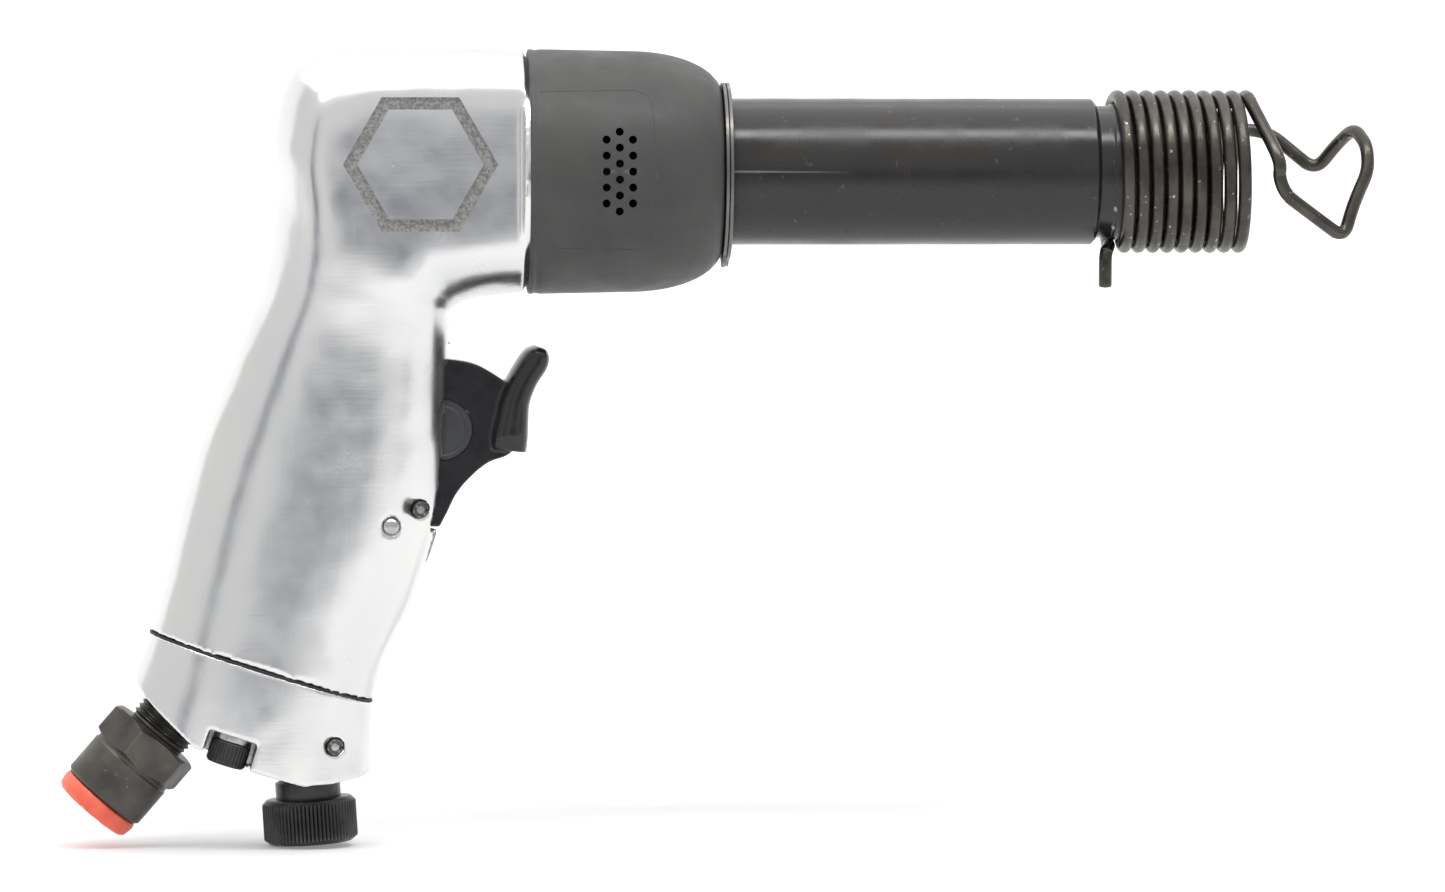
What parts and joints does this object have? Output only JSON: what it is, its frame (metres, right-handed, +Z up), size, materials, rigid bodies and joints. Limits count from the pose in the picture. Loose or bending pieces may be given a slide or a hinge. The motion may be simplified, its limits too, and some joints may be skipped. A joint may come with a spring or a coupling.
{
  "type": "pneumatic air hammer",
  "caption": "Pistol-grip pneumatic air hammer with long steel barrel, coiled wire chisel retainer, rubber exhaust deflector, trigger, power regulator and angled air inlet.",
  "frame": {"origin": "centre of the barrel's muzzle face, where the chisel's shank goes in", "axes": "+X along the barrel out of the muzzle, +Z up with the grip below the barrel, +Y to the left of the user"},
  "size_m": [0.3273, 0.061, 0.1987],
  "materials": {
    "cast_aluminium": "polished casting",
    "black_steel": "black oxide, semi-gloss",
    "dark_steel": "black oxide",
    "phosphated_steel": "dark phosphate",
    "bright_steel": "ground",
    "spring_steel": "oil-blackened wire",
    "brass": "turned",
    "seal_rubber": "moulded",
    "deflector_rubber": "satin moulded",
    "trigger_plastic": "gloss moulded",
    "disc_plastic": "moulded",
    "plug_plastic": "soft moulded"
  },
  "bodies": {
    "housing": {"handle": "cast_aluminium", "handle_base": "cast_aluminium", "base_gasket": "seal_rubber", "base_screws": "dark_steel", "base_lock_washers": "bright_steel", "regulator_pin": "bright_steel", "trigger_pivot_pin": "bright_steel", "trigger_stop_pin": "bright_steel", "throttle_bushing": "brass", "throttle_bushing_o_ring": "seal_rubber", "throttle_stem_o_ring": "seal_rubber", "throttle_spring": "bright_steel", "inlet_bushing": "phosphated_steel", "inlet_screen": "brass", "barrel": "black_steel", "valve_case": "bright_steel", "valve_block": "bright_steel", "valve_dowels": "bright_steel", "deflector_ring": "dark_steel"},
    "trigger_arm": {"trigger": "trigger_plastic", "trigger_wear_disc": "disc_plastic"},
    "throttle": {"throttle_stem": "bright_steel", "throttle_seat_washer": "seal_rubber"},
    "regulator": {"regulator_knob": "dark_steel", "regulator_o_ring": "seal_rubber"},
    "plug": {"inlet_plug": "plug_plastic"},
    "hammer": {"piston": "bright_steel"},
    "valve": {"distributor_valve": "bright_steel"},
    "deflector": {"exhaust_deflector": "deflector_rubber"},
    "retainer": {"retainer_spring": "spring_steel"}
  },
  "joints": [
    {"name": "trigger_pull", "type": "hinge", "parent": "housing", "child": "trigger_arm", "pos_m": [-0.199, 0, -0.0835], "axis": [0, -1, 0], "range_deg": [0, 12], "stiffness_Nm_per_rad": 0.8, "springref_deg": -20.05},
    {"name": "throttle_slide", "type": "slide", "parent": "housing", "child": "throttle", "axis": [-1, 0, 0], "range_m": [0, 0.0042], "deforming": ["throttle_spring"]},
    {"name": "regulator_turn", "type": "hinge", "parent": "housing", "child": "regulator", "pos_m": [-0.2265, 0, -0.1615], "axis": [-0.0628, 0, 0.998], "continuous": true},
    {"name": "plug_pull", "type": "slide", "parent": "housing", "child": "plug", "axis": [-0.6561, 0, -0.7547], "range_m": [0, 0.05]},
    {"name": "piston_stroke", "type": "slide", "parent": "housing", "child": "hammer", "axis": [1, 0, 0], "range_m": [0, 0.089]},
    {"name": "valve_shuttle", "type": "slide", "parent": "housing", "child": "valve", "axis": [-1, 0, 0], "range_m": [0, 0.0014]},
    {"name": "deflector_turn", "type": "hinge", "parent": "housing", "child": "deflector", "pos_m": [-0.15, 0, 0], "axis": [1, 0, 0], "continuous": true},
    {"name": "retainer_unscrew", "type": "hinge", "parent": "housing", "child": "retainer", "pos_m": [0, 0, 0], "axis": [1, 0, 0], "continuous": true}
  ],
  "couplings": [
    {"joint": "throttle_slide", "follows": "trigger_pull", "m_per_rad": 0.01979}
  ]
}
